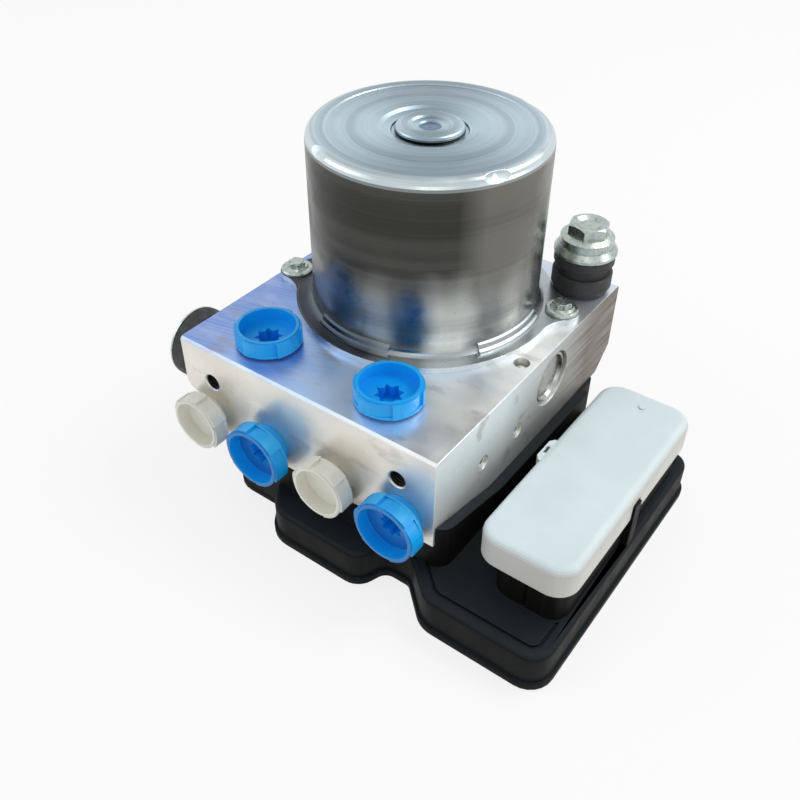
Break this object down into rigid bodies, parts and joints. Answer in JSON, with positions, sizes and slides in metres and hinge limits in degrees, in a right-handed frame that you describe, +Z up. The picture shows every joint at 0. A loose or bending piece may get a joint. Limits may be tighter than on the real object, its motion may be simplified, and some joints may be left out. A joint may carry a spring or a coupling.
{
  "type": "abs brake module",
  "caption": "Brake pressure modulator: round pump motor on a drilled aluminium valve block, control unit with a capped connector below it, plugged line ports and rubber mounts.",
  "frame": {"origin": "where the motor's axis meets the flat base of the control unit", "axes": "+Z up along the motor's axis, -Y towards the face with the four line ports, +X towards the connector"},
  "size_m": [0.1518, 0.1231, 0.1145],
  "materials": {
    "block_aluminium": "machined, satin",
    "can_steel": "deep drawn, passivated",
    "zinc_steel": "zinc plated",
    "plain_steel": "turned or pressed",
    "ground_steel": "ground and hardened",
    "spring_steel": "drawn wire",
    "core_steel": "stacked sheet",
    "ferrite": "sintered",
    "winding_copper": "enamelled wire",
    "commutator_copper": "turned",
    "coil_body": "wound and overmoulded",
    "bronze": "sintered",
    "carbon": "pressed carbon",
    "tinned_brass": "tinned",
    "black_plastic": "moulded, satin",
    "brush_plastic": "moulded",
    "board": "solder resist",
    "components": "moulded cases",
    "rubber_black": "moulded",
    "seal_rubber": "moulded",
    "blue_plastic": "moulded",
    "white_plastic": "moulded",
    "cap_plastic": "moulded, milky"
  },
  "bodies": {
    "module": {"valve_block": "block_aluminium", "gallery_balls": "ground_steel", "pump_plugs": "plain_steel", "pump_cylinder_right": "plain_steel", "pump_cylinder_left": "plain_steel", "pump_spring_right": "spring_steel", "pump_spring_left": "spring_steel", "accumulator_spring_right": "spring_steel", "accumulator_spring_left": "spring_steel", "accumulator_caps": "plain_steel", "inlet_valves": "plain_steel", "outlet_valves": "plain_steel", "inlet_springs": "spring_steel", "outlet_springs": "spring_steel", "valve_coils": "coil_body", "motor_can": "can_steel", "motor_magnets": "ferrite", "rear_bush": "bronze", "front_bearing_outer": "ground_steel", "front_bearing_balls": "ground_steel", "brush_plate": "brush_plastic", "motor_brushes": "carbon", "brush_springs": "spring_steel", "motor_screws": "zinc_steel", "motor_seal": "seal_rubber", "motor_terminals": "tinned_brass", "ecu_housing": "black_plastic", "ecu_cover": "black_plastic", "ecu_gasket": "seal_rubber", "circuit_board": "board", "board_components": "components", "connector_pins": "tinned_brass", "ecu_screws": "zinc_steel", "port_plug_top_left": "blue_plastic", "port_plug_top_right": "blue_plastic", "port_plug_front_1": "white_plastic", "port_plug_front_2": "blue_plastic", "port_plug_front_3": "white_plastic", "port_plug_front_4": "blue_plastic", "top_mount_rubber": "rubber_black", "side_mount_rubber": "rubber_black", "mount_sleeves": "plain_steel", "top_mount_washer": "zinc_steel", "top_mount_bolt": "zinc_steel", "side_mount_bolt": "zinc_steel"},
    "rotor": {"motor_shaft": "ground_steel", "armature_core": "core_steel", "armature_winding": "winding_copper", "commutator": "commutator_copper", "front_bearing_inner": "ground_steel", "eccentric_ring": "ground_steel", "eccentric_needles": "ground_steel"},
    "pump_piston_right_body": {"pump_piston_right": "ground_steel"},
    "pump_piston_left_body": {"pump_piston_left": "ground_steel"},
    "accumulator_piston_right_body": {"accumulator_piston_right": "block_aluminium"},
    "accumulator_piston_left_body": {"accumulator_piston_left": "block_aluminium"},
    "inlet_plunger_row": {"inlet_plungers": "ground_steel"},
    "outlet_plunger_row": {"outlet_plungers": "ground_steel"},
    "transport_cap": {"connector_cap": "cap_plastic"}
  },
  "joints": [
    {"name": "rotor_spin", "type": "hinge", "parent": "module", "child": "rotor", "pos_m": [0, 0, 0], "axis": [0, 0, 1], "continuous": true},
    {"name": "pump_piston_right_slide", "type": "slide", "parent": "module", "child": "pump_piston_right_body", "axis": [1, 0, 0], "range_m": [0, 0.0016], "stiffness_N_per_m": 400, "deforming": ["pump_spring_right"]},
    {"name": "pump_piston_left_slide", "type": "slide", "parent": "module", "child": "pump_piston_left_body", "axis": [-1, 0, 0], "range_m": [0, 0.0016], "stiffness_N_per_m": 400, "deforming": ["pump_spring_left"]},
    {"name": "accumulator_piston_right_slide", "type": "slide", "parent": "module", "child": "accumulator_piston_right_body", "axis": [0, 1, 0], "range_m": [0, 0.006], "stiffness_N_per_m": 400, "deforming": ["accumulator_spring_right"]},
    {"name": "accumulator_piston_left_slide", "type": "slide", "parent": "module", "child": "accumulator_piston_left_body", "axis": [0, 1, 0], "range_m": [0, 0.006], "stiffness_N_per_m": 400, "deforming": ["accumulator_spring_left"]},
    {"name": "inlet_plungers_slide", "type": "slide", "parent": "module", "child": "inlet_plunger_row", "axis": [0, 0, 1], "range_m": [0, 0.00035], "stiffness_N_per_m": 1500, "deforming": ["inlet_springs"]},
    {"name": "outlet_plungers_slide", "type": "slide", "parent": "module", "child": "outlet_plunger_row", "axis": [0, 0, 1], "range_m": [-0.00035, 0], "stiffness_N_per_m": 1500, "springref_m": 0.00005, "deforming": ["outlet_springs"]},
    {"name": "cap_pull_off", "type": "slide", "parent": "module", "child": "transport_cap", "axis": [0, 0, 1], "range_m": [0, 0.02]}
  ]
}
